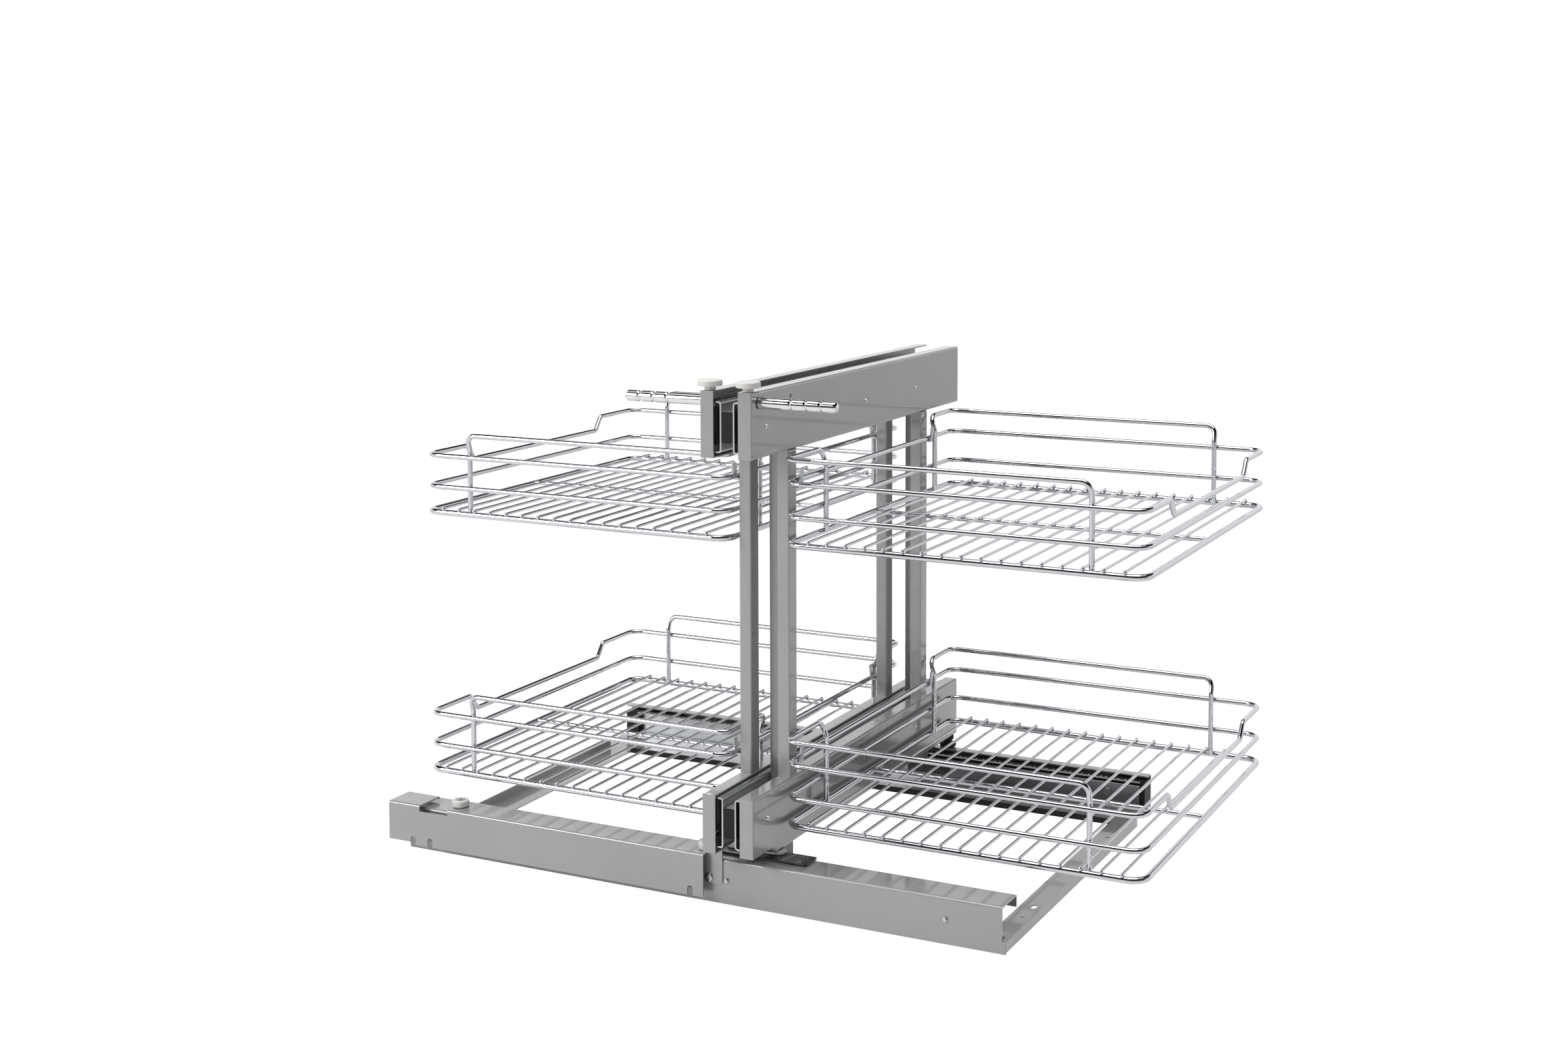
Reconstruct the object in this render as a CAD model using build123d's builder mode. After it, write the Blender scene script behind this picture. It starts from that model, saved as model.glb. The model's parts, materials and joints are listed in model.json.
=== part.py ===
from build123d import *
import os
from math import sqrt

os.makedirs("parts", exist_ok=True)

# Blind corner pull-out organizer, in millimetres, +Z up, +Y into the cabinet.
# The origin is on the cabinet floor, midway among the base's four screw holes.
# A carriage slides sideways (X) on the base and carries two units.
# Each unit is a hanging frame with two wire baskets that pulls out toward -Y.

# Screw holes and slots in the base
screw_spacing_x = 651.0
screw_spacing_y = 256.0
screw_hole_r = 2.3
adjusting_slot_length = 11.0
adjusting_slot_r = 3.0
adjusting_slot_offset = 32.0

# Base frame of folded sheet
base_sheet = 1.5
base_bend = 2.4
base_width = 687.0
bar_height = 11.5
bar_plate = 32.0
front_rail_length = 679.4
front_rail_depth = 38.0
front_rail_height = 44.9
front_rail_lip = 11.9
rear_rail_height = 37.2
rear_rail_depth = 12.5
rear_rail_plate = 79.5
rear_rail_left = 359.6
rear_rail_right = 334.0
plate_edging_depth = 3.0
plate_edging_height = 5.6

# Track cover over the left part of the front rail
cover_length = 388.0
cover_depth = 36.0
cover_reach = 10.3
cover_top_gap = 4.1
cover_bottom_z = 7.0
cover_raised_end = 28.0
cover_raised_step = 2.5
cover_lip = 2.9
cover_gate_from_end = 40.0
cover_gate_width = 36.5
cover_gate_depth = 6.5
edge_notch_width = 6.4
edge_notch_height = 9.5
edge_notches_from_end = (31.5, 53.5, 373.0)
cover_corner_r = 2.0
cover_roller_r = 9.0
cover_roller_height = 7.4
cover_rollers_from_end = (81.0, 383.0)
cover_roller_from_front = 18.0
roller_running_gap = 0.15
roller_seat_gap = 0.3

# Stop tab screwed to the front rail
tab_width = 33.0
tab_right_of_cover = 17.0
tab_bottom_z = 20.0
tab_top_z = 58.2
tab_screw_from_right = 15.0
tab_screw_z = 25.0

# Cross slides: rails in the base, ball cages and runners
cross_slide_height = 31.5
cross_slide_depth = 11.0
cross_slide_sheet = 1.2
cross_ball_d = 3.0
cross_runner_length = 262.0
cross_rail_end_gap = 2.0
cross_runner_end_gap = 0.5
rear_slide_setback = 12.0
rear_slide_z = 17.6
end_block_length = 15.0
right_block_length = 5.3
end_block_grip = 0.1
runner_screw_spacing = 109.0

# Carriage at rest
carriage_rest_x = 61.0
carriage_travel_left = 387.0
tube_width = 12.8
tube_height = 30.0
tube_wall = 1.5
lower_axis_z = 89.8
upper_axis_z = 480.4
centre_post_depth = 27.0
front_centre_post_y = 100.0
rear_centre_post_setback = 47.0
tube_setback = 4.5
plug_depth = 12.0
plug_lip = 1.5

# Carriage feet
foot_plate_half = 66.0
foot_plate_depth = 23.8
foot_plate_sheet = 1.8
foot_plate_gap = 0.3
foot_web_half = 30.0
foot_runner_grip = 25.0
foot_stub_bottom_z = 21.0
foot_behind_rail = 1.0
support_disc_r = 9.0
support_disc_height = 5.0
support_disc_gap = 0.45
rear_bracket_half = 20.0
rear_bracket_sheet = 1.5
rear_bracket_grip = 28.0

# Channels and posts of the two pull-out units
channel_length = 508.0
channel_inner_x = 13.7
channel_outer_x = 28.3
channel_sheet = 1.5
channel_bend = 2.4
upper_channel_above = 35.5
upper_channel_below = 30.2
lower_channel_above = 27.7
lower_channel_below = 31.0
lower_channel_step_y = 48.6
lower_channel_step = 7.85
lower_channel_lip = 5.0
left_flange_overrun = 4.5
post_inner_x = 15.0
post_depth = 17.4
post_wall = 1.5
front_post_y = 77.0
rear_post_setback = 89.0
unit_travel = 410.0

# Pull-out slides between the centre tubes and the channels
pull_slide_height = 50.4
pull_slide_sheet = 1.6
pull_ball_d = 4.0
pull_slide_front_y = 3.0
pull_slide_rear_gap = 5.0
slide_lip_gap = 0.4
middle_slide_front_y = 14.0
inner_slide_front_y = 30.0

# Handles, rollers, feet and rivets
handle_r = 5.65
handle_y = 16.2
handle_above_axis = 24.1
right_handle_reach = 113.3
left_handle_reach = 122.1
handle_groove_pitch = 16.0
handle_groove_depth = 1.2
handle_groove_width = 4.6
handle_dome = 3.5
handle_collar_r = 7.6
handle_collar_length = 2.0
top_roller_r = 12.2
top_roller_height = 6.0
top_roller_y = 7.3
top_roller_boss_r = 5.6
top_roller_boss_height = 3.8
rear_foot_setback = 11.0
rear_foot_r = 9.7
rear_foot_gap = 0.5
rivet_r = 2.4
rivet_head = 0.9
rivet_places = (31.0, 255.0, 386.0)

# Wire baskets
tier_spacing = 282.5
lower_basket_z = 76.4
basket_width = 370.1
basket_front_setback = 60.2
basket_rear_setback = 30.5
basket_gap = 1.85
basket_corner_r = 16.0
floor_ring_r = 3.25
side_ring_r = 2.7
hoop_r = 2.7
floor_wire_r = 1.5
cross_wire_r = 2.5
middle_ring_rise = 27.7
upper_ring_rise = 61.3
hoop_rise = 85.0
hoop_lean = 16.0
ring_dip = 16.1
dip_from_end = 79.0
dip_run = 12.0
hoop_leg_from_outside = 54.0
hoop_reach_front = 79.5
hoop_reach_rear = 60.0
hoop_bend_r = 10.0
floor_wire_pitch = 20.26
floor_wire_inner_margin = 25.8
floor_wire_outer_margin = 20.0
left_floor_wires_inward = 3.1
floor_wire_overhang = 1.6
cross_wire_from_front = 200.5
weld_depth = 0.3
weld_gap = 0.05
hook_width = 7.0
hook_sheet = 1.8
hook_rise = 12.5
post_slot_height = 3.0
post_slot_width = 9.0

# Screws
screw_head_r = 4.75
screw_head_height = 2.2
screw_shank_r = 2.0

# Places worked out from the sizes above
half_width = base_width / 2
front_y = -screw_spacing_y / 2 - 114.5
rear_y = front_y + channel_length
rail_front_y = front_y + 24.3
rail_back_y = rail_front_y + front_rail_depth
rear_wall_y = rear_y - 8.5
rear_plate_y = rear_wall_y - rear_rail_plate
half_rail = front_rail_length / 2
cover_left_x = carriage_rest_x - 36.0 - cover_length
cover_right_x = cover_left_x + cover_length
cover_front_y = rail_front_y - cover_reach
cover_top_z = front_rail_height + cover_top_gap + base_sheet
half_tube = tube_width / 2
slide_depth = channel_outer_x - channel_sheet - half_tube
outer_slide_depth = channel_inner_x - slide_lip_gap - half_tube
post_bottom_z = lower_axis_z + lower_channel_above
post_top_z = upper_axis_z - upper_channel_below
basket_inner_x = channel_outer_x + basket_gap + floor_ring_r
basket_front_y = front_y + basket_front_setback
basket_rear_y = rear_y - basket_rear_setback
front_slide_z = bar_height + cross_slide_height / 2
front_slide_y = rail_front_y + base_sheet
rear_slide_y = rear_wall_y - base_sheet - rear_slide_setback
runner_right_x = rear_rail_right - right_block_length - cross_runner_end_gap
runner_left_x = runner_right_x - cross_runner_length
middle_x = Plane.YZ.offset(carriage_rest_x)


def save(piece, name):
    piece.part.label = name
    export_step(piece.part, f"parts/{name}.step")


def block(x, y, z, mode=Mode.ADD):
    # A box given by its two limits along each axis
    with Locations(((x[0] + x[1]) / 2, (y[0] + y[1]) / 2, (z[0] + z[1]) / 2)):
        Box(abs(x[1] - x[0]), abs(y[1] - y[0]), abs(z[1] - z[0]), mode=mode)


def folded_strip(points, sheet, bend):
    # Sheet metal section: a line along one face, thickened to its right-hand side
    with BuildLine() as face_line:
        FilletPolyline(*points, radius=bend)
        offset(amount=sheet, side=Side.RIGHT)
    make_face(face_line.edges())


def upright(x, y, z_bottom, radius, height, mode=Mode.ADD):
    # A round pin that stands on z_bottom
    with Locations((x, y, z_bottom + height / 2)):
        Cylinder(radius, height, mode=mode)


def swept_wire(path_line, radius):
    # Round wire along the line that was just drawn
    with BuildSketch(Plane(origin=path_line @ 0, z_dir=path_line % 0)) as wire_section:
        Circle(radius)
    sweep(wire_section.sketch, path=path_line)


def facing_front(x, y, z):
    # A plane through the point, seen from the front
    return Plane(origin=(x, y, z), x_dir=(1, 0, 0), z_dir=(0, -1, 0))


def pan_head_screw(plane, shank):
    # Cross-recessed screw: its head stands on the plane, its shank goes below
    with BuildSketch(plane) as head:
        Circle(screw_head_r)
    extrude(head.sketch, amount=screw_head_height, taper=18)
    with BuildSketch(plane) as shank_section:
        Circle(screw_shank_r)
    extrude(shank_section.sketch, amount=-shank)
    with BuildSketch(plane.offset(screw_head_height)) as recess:
        Rectangle(0.9 * screw_head_r, 0.24 * screw_head_r)
        Rectangle(0.24 * screw_head_r, 0.9 * screw_head_r)
    extrude(recess.sketch, amount=-0.6 * screw_head_height, mode=Mode.SUBTRACT)


# Base: rails, side bars, cover and stop tab

def make_front_rail():
    with BuildPart() as rail:
        with BuildSketch(Plane.YZ.offset(-half_rail)):
            folded_strip(((rail_front_y, 0), (rail_front_y, front_rail_height),
                          (rail_back_y, front_rail_height),
                          (rail_back_y, front_rail_height - front_rail_lip)), base_sheet, base_bend)
        extrude(amount=front_rail_length)
        for pin_x in rail_pin_places:
            with BuildSketch(Plane.XZ.offset(-rail_front_y)):
                with Locations((pin_x, rail_pin_z)):
                    Circle(rail_pin_r)
            extrude(amount=-base_sheet, mode=Mode.SUBTRACT)
        with BuildSketch(Plane.XZ.offset(-rail_front_y)):
            with Locations((tab_screw_x, tab_screw_z)):
                Circle(screw_shank_r + 0.1)
        extrude(amount=-base_sheet, mode=Mode.SUBTRACT)
        for roller_x in cover_roller_places:
            upright(roller_x, cover_roller_y, front_rail_height - base_sheet, 2.6, base_sheet, Mode.SUBTRACT)
    return rail


rail_pin_r = 2.3
rail_pin_z = 24.0
rail_pin_places = (carriage_rest_x - 14.8, half_rail - 57.4)
cover_roller_places = tuple(cover_left_x + reach for reach in cover_rollers_from_end)
cover_roller_y = cover_front_y + cover_roller_from_front
tab_right_x = cover_right_x + tab_right_of_cover
tab_screw_x = tab_right_x - tab_screw_from_right

front_rail = make_front_rail()
save(front_rail, "front_rail")

with BuildPart() as rear_rail:
    with BuildSketch(Plane.YZ.offset(-rear_rail_left)):
        folded_strip(((rear_wall_y - rear_rail_depth, rear_rail_height), (rear_wall_y, rear_rail_height),
                      (rear_wall_y, 0), (rear_plate_y, 0)), base_sheet, base_bend)
    extrude(amount=rear_rail_left + rear_rail_right)
save(rear_rail, "rear_rail")


def make_side_bar(side):
    # An angle: its plate lies on the floor, its flange stands outside
    bar_front_y = rail_front_y + base_sheet
    with BuildPart() as bar:
        with BuildSketch(Plane.XZ.offset(-bar_front_y)):
            folded_strip(((half_width, bar_height), (half_width, 0), (half_width - bar_plate, 0)),
                         base_sheet, base_bend)
        extrude(amount=-(rear_plate_y - bar_front_y))
        # The flange wraps round the rail's end
        block((half_rail, half_width), (rail_front_y, bar_front_y), (0, bar_height))
        fillet(bar.edges().filter_by(Axis.Z).sort_by(Axis.Y)[:2].sort_by(Axis.X)[-1], base_bend / 2)
        for end in (-1, 1):
            hole_y = end * screw_spacing_y / 2
            upright(screw_spacing_x / 2, hole_y, 0, screw_hole_r, base_sheet, Mode.SUBTRACT)
            with BuildSketch(Plane.XY):
                with Locations((screw_spacing_x / 2, hole_y - end * adjusting_slot_offset)):
                    SlotOverall(adjusting_slot_length, 2 * adjusting_slot_r, rotation=90)
            extrude(amount=base_sheet, mode=Mode.SUBTRACT)
        if side < 0:
            mirror(about=Plane.YZ, mode=Mode.REPLACE)
    return bar


for side, hand in ((-1, "left"), (1, "right")):
    side_bar = make_side_bar(side)
    save(side_bar, f"{hand}_side_bar")

with BuildPart() as track_cover:
    with BuildSketch(Plane.YZ.offset(cover_left_x)):
        folded_strip(((cover_front_y, cover_bottom_z), (cover_front_y, cover_top_z),
                      (cover_front_y + cover_depth, cover_top_z),
                      (cover_front_y + cover_depth, cover_top_z - cover_lip)), base_sheet, base_sheet + 0.6)
    extrude(amount=cover_length)
    # The gate that a unit's lower channel passes over
    gate_x = cover_left_x + cover_gate_from_end
    block((gate_x, gate_x + cover_gate_width), (cover_front_y - 1, cover_front_y + cover_depth + 1),
          (cover_top_z - cover_gate_depth, cover_top_z + 1), Mode.SUBTRACT)
    block((cover_left_x, cover_left_x + cover_raised_end), (cover_front_y, cover_front_y + base_sheet),
          (cover_bottom_z, cover_bottom_z + cover_raised_step), Mode.SUBTRACT)
    bottom_corners = track_cover.edges().filter_by(Axis.Y).group_by(Axis.Z)[0]
    fillet(bottom_corners, cover_corner_r)
    for reach in edge_notches_from_end:
        with BuildSketch(Plane.XZ.offset(-cover_front_y)):
            with Locations((cover_left_x + reach, cover_bottom_z)):
                SlotOverall(2 * edge_notch_height, edge_notch_width, rotation=90)
        extrude(amount=-base_sheet, mode=Mode.SUBTRACT)
    for roller_x in cover_roller_places:
        upright(roller_x, cover_roller_y, cover_top_z - base_sheet, 2.6, base_sheet, Mode.SUBTRACT)
save(track_cover, "track_cover")

with BuildPart() as stop_tab:
    tab_y = (rail_front_y - base_sheet, rail_front_y)
    block((tab_right_x - tab_width, tab_right_x), tab_y, (tab_bottom_z, cover_top_z - base_sheet - 0.5))
    block((cover_right_x + 0.5, tab_right_x), tab_y, (cover_top_z - base_sheet - 0.5, tab_top_z))
    fillet(stop_tab.edges().filter_by(Axis.Y).sort_by(Axis.X)[-2:], 2.5)
    with BuildSketch(Plane.XZ.offset(-rail_front_y)):
        with Locations((tab_screw_x, tab_screw_z)):
            Circle(screw_shank_r + 0.1)
    extrude(amount=base_sheet, mode=Mode.SUBTRACT)
save(stop_tab, "stop_tab")

with BuildPart() as stop_tab_screw:
    pan_head_screw(facing_front(tab_screw_x, rail_front_y - base_sheet, tab_screw_z), 2 * base_sheet)
save(stop_tab_screw, "stop_tab_screw")

with BuildPart() as rail_pins:
    for pin_x in rail_pin_places:
        with BuildSketch(Plane.XZ.offset(-rail_front_y - base_sheet)):
            with Locations((pin_x, rail_pin_z)):
                Circle(rail_pin_r)
        extrude(amount=base_sheet + 2.2)
    fillet(rail_pins.edges().group_by(Axis.Y)[0], 0.9)
save(rail_pins, "rail_pins")

# Shoulder screws that hold the cover on the rail and carry its rollers
with BuildPart() as cover_roller_axles:
    for roller_x in cover_roller_places:
        with BuildSketch(Plane.XZ.offset(-cover_roller_y)):
            with BuildLine():
                head_z = cover_top_z + cover_roller_height
                Polyline((roller_x, front_rail_height - base_sheet),
                         (roller_x + 2.6, front_rail_height - base_sheet),
                         (roller_x + 2.6, front_rail_height),
                         (roller_x + 6.5, front_rail_height),
                         (roller_x + 6.5, cover_top_z - base_sheet),
                         (roller_x + 2.6, cover_top_z - base_sheet),
                         (roller_x + 2.6, head_z - 1.0),
                         (roller_x + 4.6, head_z - 1.0),
                         (roller_x + 4.2, head_z + 0.3),
                         (roller_x, head_z + 0.3),
                         close=True)
            make_face()
        revolve(axis=Axis((roller_x, cover_roller_y, 0), (0, 0, 1)))
        with BuildSketch(Plane.XY.offset(head_z + 0.3)):
            with Locations((roller_x, cover_roller_y)):
                Rectangle(5.2, 1.2)
                Rectangle(1.2, 5.2)
        extrude(amount=-1.1, mode=Mode.SUBTRACT)
save(cover_roller_axles, "cover_roller_axles")


def make_cover_roller(roller_x):
    with BuildPart() as roller:
        bottom_z = cover_top_z + roller_seat_gap
        height = cover_roller_height - roller_seat_gap
        upright(roller_x, cover_roller_y, bottom_z, cover_roller_r, height)
        fillet(roller.edges().filter_by(GeomType.CIRCLE), 1.4)
        upright(roller_x, cover_roller_y, bottom_z, 2.6 + roller_running_gap, height, Mode.SUBTRACT)
        upright(roller_x, cover_roller_y, cover_top_z + cover_roller_height - 1.3, 5.2, 1.3, Mode.SUBTRACT)
    return roller


for roller_x, hand in zip(cover_roller_places, ("left", "right")):
    cover_roller = make_cover_roller(roller_x)
    save(cover_roller, f"{hand}_cover_roller")


# Cross slides: a rail along the base, a ball cage and a runner on the carriage

def c_section(web_x, depth, height, sheet, opens):
    # A rolled channel section: its web's outer face at web_x, open toward opens (1 or -1)
    tip_x = web_x + opens * depth
    end_z = opens * height / 2
    folded_strip(((tip_x, -end_z), (web_x, -end_z), (web_x, end_z), (tip_x, end_z)), sheet, 2 * sheet)


def cross_plane(x, y, z):
    # Looking along X: the sketch's X runs into the cabinet's depth, its Y is up
    return Plane(origin=(x, y, z), x_dir=(0, 1, 0), z_dir=(1, 0, 0))


def make_cross_rail(x_from, x_to, web_y, z, toward):
    with BuildPart() as rail:
        with BuildSketch(cross_plane(x_from, web_y, z)):
            c_section(0, cross_slide_depth, cross_slide_height, cross_slide_sheet, toward)
        extrude(amount=x_to - x_from)
    return rail


front_slide_rail = make_cross_rail(-half_rail + cross_rail_end_gap, half_rail - cross_rail_end_gap,
                                   front_slide_y, front_slide_z, 1)
save(front_slide_rail, "front_slide_rail")
rear_slide_rail = make_cross_rail(-rear_rail_left + end_block_length + 8.0, rear_rail_right - right_block_length,
                                  rear_slide_y, rear_slide_z, -1)
save(rear_slide_rail, "rear_slide_rail")

with BuildPart() as rear_slide_blocks:
    # Plastic end blocks that hold the rear slide off the rail's wall
    block_y = (rear_slide_y - cross_slide_depth + 1.5, rear_wall_y - base_sheet)
    block_z = (base_sheet + 1.0, rear_slide_z + cross_slide_height / 2)
    left_end = -rear_rail_left + 6.0
    block((left_end, left_end + end_block_length + 2.0), block_y, block_z)
    right_end = rear_rail_right - right_block_length
    block((right_end, right_end + right_block_length), block_y, block_z)
    # Feet of the blocks that reach behind the slide rail
    block((left_end, left_end + 70), (rear_slide_y, block_y[1]), block_z)
    block((right_end - 40, right_end + 1), (rear_slide_y, block_y[1]), block_z)
    # A plastic edging along the front of the rear rail's floor plate
    edging_half = half_width - bar_plate - 0.5
    block((-edging_half, edging_half), (rear_plate_y - plate_edging_depth, rear_plate_y),
          (0, plate_edging_height))
save(rear_slide_blocks, "rear_slide_blocks")

runner_half = cross_slide_height / 2 - cross_slide_sheet - cross_ball_d - 0.1


runner_screw_x = runner_left_x + 116.0

with BuildPart() as cross_slide_runners:
    # Each runner lies inside its rail with its web toward the open side
    for web_y, z, toward in ((front_slide_y, front_slide_z, 1), (rear_slide_y, rear_slide_z, -1)):
        with BuildSketch(cross_plane(runner_left_x, web_y + toward * cross_slide_depth, z)):
            c_section(0, cross_slide_depth - cross_slide_sheet - 1.0, 2 * runner_half, cross_slide_sheet, -toward)
        extrude(amount=cross_runner_length)
    for step in range(2):
        with BuildSketch(Plane.XZ.offset(-(rear_slide_y - cross_slide_depth))):
            with Locations((runner_screw_x + step * runner_screw_spacing, rear_slide_z)):
                Circle(screw_shank_r + 0.1)
        extrude(amount=-cross_slide_sheet, mode=Mode.SUBTRACT)
save(cross_slide_runners, "cross_slide_runners")


def add_ball_strip(start, direction, length, ball_d, strip_width, strip_plane_y):
    # A cage strip with its row of balls along a slide
    half_gap = ball_d / 2
    pitch = 9 * ball_d
    count = int(length // pitch)
    first = (length - (count - 1) * pitch) / 2
    for step in range(count):
        with Locations(start + direction * (first + step * pitch)):
            Sphere(half_gap)
    middle = start + direction * (length / 2)
    strip = strip_plane_y * (strip_width / 2)
    box_size = [abs(c) for c in (direction * length + strip * 2)]
    sizes = [size if size > 0 else 0.4 * ball_d for size in box_size]
    with Locations(middle):
        Box(*sizes)


with BuildPart() as cross_ball_cages:
    for web_y, z, toward in ((front_slide_y, front_slide_z, 1), (rear_slide_y, rear_slide_z, -1)):
        for up in (-1, 1):
            ball_z = z + up * (cross_slide_height / 2 - cross_slide_sheet - cross_ball_d / 2 - 0.05)
            start = Vector(runner_left_x, web_y + toward * 0.62 * cross_slide_depth, ball_z)
            add_ball_strip(start, Vector(1, 0, 0), cross_runner_length, cross_ball_d - 0.1, 5.0, Vector(0, 1, 0))
save(cross_ball_cages, "cross_ball_cages")


# Carriage: two centre tubes, two posts, feet and the fixed members of the pull-out slides

def make_centre_tube(axis_z):
    with BuildPart() as tube:
        with BuildSketch(Plane.XZ.offset(-front_y - tube_setback)):
            with Locations((carriage_rest_x, axis_z)):
                RectangleRounded(tube_width, tube_height, 2.0)
                RectangleRounded(tube_width - 2 * tube_wall, tube_height - 2 * tube_wall, 0.6, mode=Mode.SUBTRACT)
        extrude(amount=-channel_length + 2 * tube_setback)
    return tube


for axis_z, level in ((lower_axis_z, "lower"), (upper_axis_z, "upper")):
    centre_tube = make_centre_tube(axis_z)
    save(centre_tube, f"{level}_centre_tube")


def make_centre_post(post_front_y):
    z_bottom = lower_axis_z + tube_height / 2
    with BuildPart() as post:
        with BuildSketch(Plane.XY.offset(z_bottom)):
            with Locations((carriage_rest_x, post_front_y + centre_post_depth / 2)):
                RectangleRounded(tube_width, centre_post_depth, 1.8)
                RectangleRounded(tube_width - 2 * tube_wall, centre_post_depth - 2 * tube_wall, 0.6,
                                 mode=Mode.SUBTRACT)
        extrude(amount=upper_axis_z - lower_axis_z - tube_height)
    return post


front_centre_post = make_centre_post(front_y + front_centre_post_y)
save(front_centre_post, "front_centre_post")
rear_centre_post = make_centre_post(rear_y - rear_centre_post_setback - centre_post_depth)
save(rear_centre_post, "rear_centre_post")

with BuildPart() as centre_tube_plugs:
    for axis_z in (lower_axis_z, upper_axis_z):
        for end_y, inward in ((front_y + tube_setback, 1), (rear_y - tube_setback, -1)):
            with BuildSketch(Plane.XZ.offset(-end_y)):
                with Locations((carriage_rest_x, axis_z)):
                    RectangleRounded(tube_width - 2 * tube_wall, tube_height - 2 * tube_wall, 0.6)
            extrude(amount=-inward * plug_depth)
            with BuildSketch(Plane.XZ.offset(-end_y)):
                with Locations((carriage_rest_x, axis_z)):
                    RectangleRounded(tube_width, tube_height, 2.0)
            extrude(amount=inward * plug_lip)
save(centre_tube_plugs, "centre_tube_plugs")

foot_z = front_rail_height + foot_plate_gap
foot_y = (rail_back_y + foot_behind_rail - foot_plate_depth, rail_back_y + foot_behind_rail + foot_plate_sheet)
stub_half = half_tube - 0.2
disc_x = (channel_inner_x + channel_outer_x) / 2 + 3.0
disc_y = rail_back_y - 2.4
disc_top_z = lower_axis_z - lower_channel_below - lower_channel_step - support_disc_gap
disc_bottom_z = foot_z + foot_plate_sheet + roller_seat_gap

with BuildPart() as carriage_front_foot:
    sheet = foot_plate_sheet
    block((carriage_rest_x - foot_plate_half, carriage_rest_x + foot_plate_half), foot_y, (foot_z, foot_z + sheet))
    fillet(carriage_front_foot.edges().filter_by(Axis.Z), 3.0)
    # The web goes down behind the rail's lip and forward to the slide's runner
    tongue_z = front_rail_height - front_rail_lip - 8.0
    runner_face_y = front_slide_y + cross_slide_depth
    web_x = (carriage_rest_x - foot_web_half,
             max(carriage_rest_x + foot_web_half, runner_left_x + foot_runner_grip))
    block(web_x, (foot_y[1] - sheet, foot_y[1]), (tongue_z, foot_z))
    block(web_x, (runner_face_y, foot_y[1]), (tongue_z, tongue_z + sheet))
    block(web_x, (runner_face_y, runner_face_y + sheet), (front_slide_z - 9.0, tongue_z + 6.0))
    # The stub under the lower centre tube goes down past the plate's tail
    post_y = (front_y + front_centre_post_y, front_y + front_centre_post_y + centre_post_depth)
    block((carriage_rest_x - stub_half, carriage_rest_x + stub_half), (foot_y[1] - 1, post_y[1]),
          (foot_z, foot_z + sheet))
    block((carriage_rest_x - stub_half, carriage_rest_x + stub_half), post_y,
          (foot_stub_bottom_z, lower_axis_z - tube_height / 2))
    # Ridges at the plate's ends and pressed cross marks
    for end in (-1, 1):
        block((carriage_rest_x + end * (foot_plate_half - 4.5), carriage_rest_x + end * (foot_plate_half - 1.5)),
              (foot_y[0] + 2.5, foot_y[1] - 2.5), (foot_z + sheet, foot_z + sheet + 0.6))
    for end in (-1, 1):
        upright(carriage_rest_x + end * disc_x, disc_y, foot_z, 1.6, sheet, Mode.SUBTRACT)
save(carriage_front_foot, "carriage_front_foot")

with BuildPart() as carriage_rear_bracket:
    face_y = rear_slide_y - cross_slide_depth
    sheet = rear_bracket_sheet
    plate_z = (rear_slide_z - 8.0, rear_slide_z + 8.0)
    plate_right_x = max(runner_left_x, carriage_rest_x) + rear_bracket_grip
    block((carriage_rest_x - rear_bracket_half, plate_right_x), (face_y - sheet, face_y), plate_z)
    fillet(carriage_rear_bracket.edges().filter_by(Axis.Y), 2.5)
    arm_x = (carriage_rest_x - half_tube, carriage_rest_x + half_tube)
    block(arm_x, (face_y - sheet, face_y), (rear_slide_z, lower_axis_z - tube_height / 2))
    block(arm_x, (face_y - 24.0, face_y),
          (lower_axis_z - tube_height / 2 - sheet, lower_axis_z - tube_height / 2))
save(carriage_rear_bracket, "carriage_rear_bracket")

with BuildPart() as rear_runner_screws:
    for step in range(2):
        screw_x = runner_screw_x + step * runner_screw_spacing
        pan_head_screw(facing_front(screw_x, face_y, rear_slide_z), cross_slide_sheet)
save(rear_runner_screws, "rear_runner_screws")

with BuildPart() as support_disc_screws:
    for end in (-1, 1):
        screw_x = carriage_rest_x + end * disc_x
        upright(screw_x, disc_y, foot_z, 1.6, disc_top_z - foot_z - 0.6)
        upright(screw_x, disc_y, disc_top_z - 1.2, 3.4, 0.6)
save(support_disc_screws, "support_disc_screws")


def make_support_disc(end):
    screw_x = carriage_rest_x + end * disc_x
    height = disc_top_z - disc_bottom_z
    with BuildPart() as disc:
        upright(screw_x, disc_y, disc_bottom_z, support_disc_r, height)
        fillet(disc.edges().filter_by(GeomType.CIRCLE), 0.7)
        upright(screw_x, disc_y, disc_bottom_z, 1.6 + roller_running_gap, height, Mode.SUBTRACT)
        upright(screw_x, disc_y, disc_top_z - 1.35, 3.4 + roller_running_gap, 1.35, Mode.SUBTRACT)
    return disc


for end, hand in ((-1, "left"), (1, "right")):
    support_disc = make_support_disc(end)
    save(support_disc, f"{hand}_support_disc")


# Pull-out slides: fixed member, middle member, ball cages and moving member

def slide_plane(side, y, axis_z):
    # The sketch's X runs from the centre tube's face toward the channel's web
    return Plane(origin=(carriage_rest_x + side * half_tube, y, axis_z), x_dir=(side, 0, 0), z_dir=(0, side, 0))


def along_slide(side, length):
    extrude(amount=side * length)


slide_start_y = front_y + pull_slide_front_y
slide_length = channel_length - pull_slide_front_y - pull_slide_rear_gap
levels = (lower_axis_z, upper_axis_z)
ball_track = pull_slide_height / 2 - pull_slide_sheet - pull_ball_d / 2 - 0.1
middle_half = ball_track - pull_ball_d / 2 - 0.1


def make_fixed_members():
    with BuildPart() as members:
        for side in (-1, 1):
            for axis_z in levels:
                with BuildSketch(slide_plane(side, slide_start_y, axis_z)):
                    c_section(0, outer_slide_depth, pull_slide_height, pull_slide_sheet, 1)
                along_slide(side, slide_length)
    return members


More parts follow.
